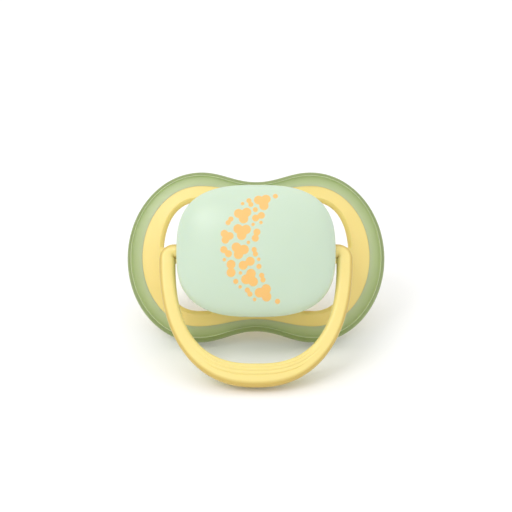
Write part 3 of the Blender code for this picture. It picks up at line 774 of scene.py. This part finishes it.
# ------------------------------------------------------------------------ teat
# The teat: clear silicone, injection moulded and hollow, with a flange behind
# the cover. Its bulb comes out of a blasted mould, so it is frosted; its neck
# is polished clear, with fine flutes inside that keep it from collapsing.
TEAT_HEIGHT = 29.0 * MM
TEAT_NECK = 4.25 * MM
TEAT_BULB = 7.25 * MM
TEAT_BULB_HEIGHT = 19.2 * MM
TEAT_WIDENING = 1.17
TEAT_WALL = 1.3 * MM
TEAT_FLANGE = 7.0 * MM
FLANGE_Z = (1.5 * MM, 3.3 * MM)
NECK_FLARE = 0.10
# Where the neck swells into the bulb, and how gently, as shares of the bulb's height.
SWELL_AT = 0.66
SWELL_LENGTH = 0.09
FLUTES = 12
FLUTE_DEPTH = 0.15 * MM
FLUTED_FROM = 3.0 * MM
FLUTED_TO = 11.0 * MM
SIDE_STEPS = 48
TIP_STEPS = 24
TEAT_SQUARES_AROUND = 168
FROST_FROM = 9.4 * MM
FROST_FADE = 0.5 * MM
ARCH_HEIGHT = 2.6 * MM


def teat_radius(height):
    """Half the teat's thickness at a height above the plate's back."""
    if height >= TEAT_BULB_HEIGHT:
        up = min(1.0, (height - TEAT_BULB_HEIGHT) / (TEAT_HEIGHT - TEAT_BULB_HEIGHT))
        return TEAT_BULB * math.sqrt(1 - up * up)
    along = height / TEAT_BULB_HEIGHT
    swell = 1 / (1 + math.exp((SWELL_AT - along) / SWELL_LENGTH))
    full_swell = 1 / (1 + math.exp((SWELL_AT - 1) / SWELL_LENGTH))
    neck = TEAT_NECK * (1 + NECK_FLARE * along)
    return neck + (TEAT_BULB - TEAT_NECK * (1 + NECK_FLARE)) * swell / full_swell


# Rows down the outside and up the inside: radius, height above the plate's
# back, and share of flute.
teat_rows = []
cap = TEAT_HEIGHT - TEAT_BULB_HEIGHT
for step in range(TIP_STEPS + 1):
    turn = math.pi / 2 * (1 - step / TIP_STEPS)
    teat_rows.append((TEAT_BULB * math.cos(turn), TEAT_BULB_HEIGHT + cap * math.sin(turn), 0))
for step in range(1, SIDE_STEPS + 1):
    height = TEAT_BULB_HEIGHT * (1 - step / SIDE_STEPS)
    teat_rows.append((teat_radius(height), height, 0))
flange_low, flange_high = (-PLATE_FACE - z for z in FLANGE_Z)
teat_rows += [(TEAT_NECK, flange_low, 0), (TEAT_FLANGE, flange_low, 0), (TEAT_FLANGE, flange_high, 0),
              (TEAT_NECK - TEAT_WALL, flange_high, 0), (TEAT_NECK - TEAT_WALL, 0, 0)]
for step in range(1, SIDE_STEPS + 1):
    height = TEAT_BULB_HEIGHT * step / SIDE_STEPS
    fluted = max(0.0, min(1.0, (height - FLUTED_FROM) / (1.5 * MM), (FLUTED_TO - height) / (2.0 * MM)))
    teat_rows.append((teat_radius(height) - TEAT_WALL, height, fluted))
for step in range(1, TIP_STEPS + 1):
    turn = math.pi / 2 * step / TIP_STEPS
    teat_rows.append(((TEAT_BULB - TEAT_WALL) * math.cos(turn),
                      TEAT_BULB_HEIGHT + (cap - TEAT_WALL) * math.sin(turn), 0))


def turned(radius, height, turn):
    """A point round the teat's axis, which is wider along the shield than across."""
    x = radius * TEAT_WIDENING * math.cos(turn)
    return Vector((x, radius * math.sin(turn), -PLATE_FACE - height))


def teat_point(u, v):
    radius, height, fluted = teat_rows[round(u * (len(teat_rows) - 1))]
    turn = 2 * math.pi * v
    return turned(radius + FLUTE_DEPTH * fluted * math.cos(FLUTES * turn), height, turn)


teat = skin("teat_moulding", len(teat_rows) - 1, TEAT_SQUARES_AROUND, teat_point)


def silicone(name):
    """Liquid silicone rubber: see-through, polished at the neck, frosted above."""
    material, tree, shader = new_material(name)
    place = add_node(tree, "TexCoord").outputs["Object"]
    back = body_place.inverted()
    bench = add_node(tree, "Mapping", {"Location": back.translation, "Rotation": back.to_euler()},
                     {"Vector": place})
    spot = add_node(tree, "SeparateXYZ", links={"Vector": bench.outputs["Vector"]})
    # The clear part reaches higher in an arch on the neck's two broad sides.
    sideways = add_node(tree, "Math", {"operation": "ABSOLUTE"}, {0: spot.outputs["X"]})
    arch = add_node(tree, "MapRange", {"interpolation_type": "SMOOTHSTEP", "From Min": 1.2 * MM,
                                       "From Max": 4.6 * MM, "To Min": ARCH_HEIGHT, "To Max": 0.0},
                    {"Value": sideways.outputs["Value"]})
    height = add_node(tree, "Math", {"operation": "ADD"},
                      {0: spot.outputs["Z"], 1: arch.outputs["Result"]})
    frost = add_node(tree, "MapRange", {"From Min": -PLATE_FACE - FROST_FROM,
                                        "From Max": -PLATE_FACE - FROST_FROM - FROST_FADE},
                     {"Value": height.outputs["Value"]})
    rough = add_node(tree, "MapRange", {"To Min": 0.05, "To Max": 0.6},
                     {"Value": frost.outputs["Result"]})
    clear = add_node(tree, "MapRange", {"To Min": 0.97, "To Max": 0.12},
                     {"Value": frost.outputs["Result"]})
    tree.links.new(rough.outputs["Result"], shader.inputs["Roughness"])
    tree.links.new(clear.outputs["Result"], shader.inputs["Transmission Weight"])
    shader.inputs["Base Color"].default_value = linear("#FBFBFB")
    shader.inputs["IOR"].default_value = 1.41
    shader.inputs["Subsurface Weight"].default_value = 0.4
    shader.inputs["Subsurface Radius"].default_value = (1.0, 1.0, 1.0)
    shader.inputs["Subsurface Scale"].default_value = 2 * MM
    return material


shade(teat, silicone("silicone rubber"))
lay(teat, body_place)
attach(teat, "pacifier_body")
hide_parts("teat")


# ------------------------------------------------------------------- teat plug
# The plug behind the teat's flange: a moulded disc with a tapered nose that
# fills the foot of the neck, where it shows through the clear silicone.
PLUG_SQUARES_AROUND = 64
# Rows from the nose to the disc: radius and height above the plate's back, in mm.
PLUG_ROWS = ((0.0, 2.4), (0.9, 2.4), (1.05, 2.3), (2.5, 0.0), (2.55, -0.2), (2.55, -4.8), (7.0, -4.8),
             (7.0, -6.2), (0.0, -6.2))


def plug_point(u, v):
    radius, height = PLUG_ROWS[round(u * (len(PLUG_ROWS) - 1))]
    return turned(radius * MM, height * MM, 2 * math.pi * v)


plug = skin("teat_plug_moulding", len(PLUG_ROWS) - 1, PLUG_SQUARES_AROUND, plug_point)
shade(plug, yellow_plastic)
lay(plug, body_place)
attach(plug, "pacifier_body")
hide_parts("teat_plug")
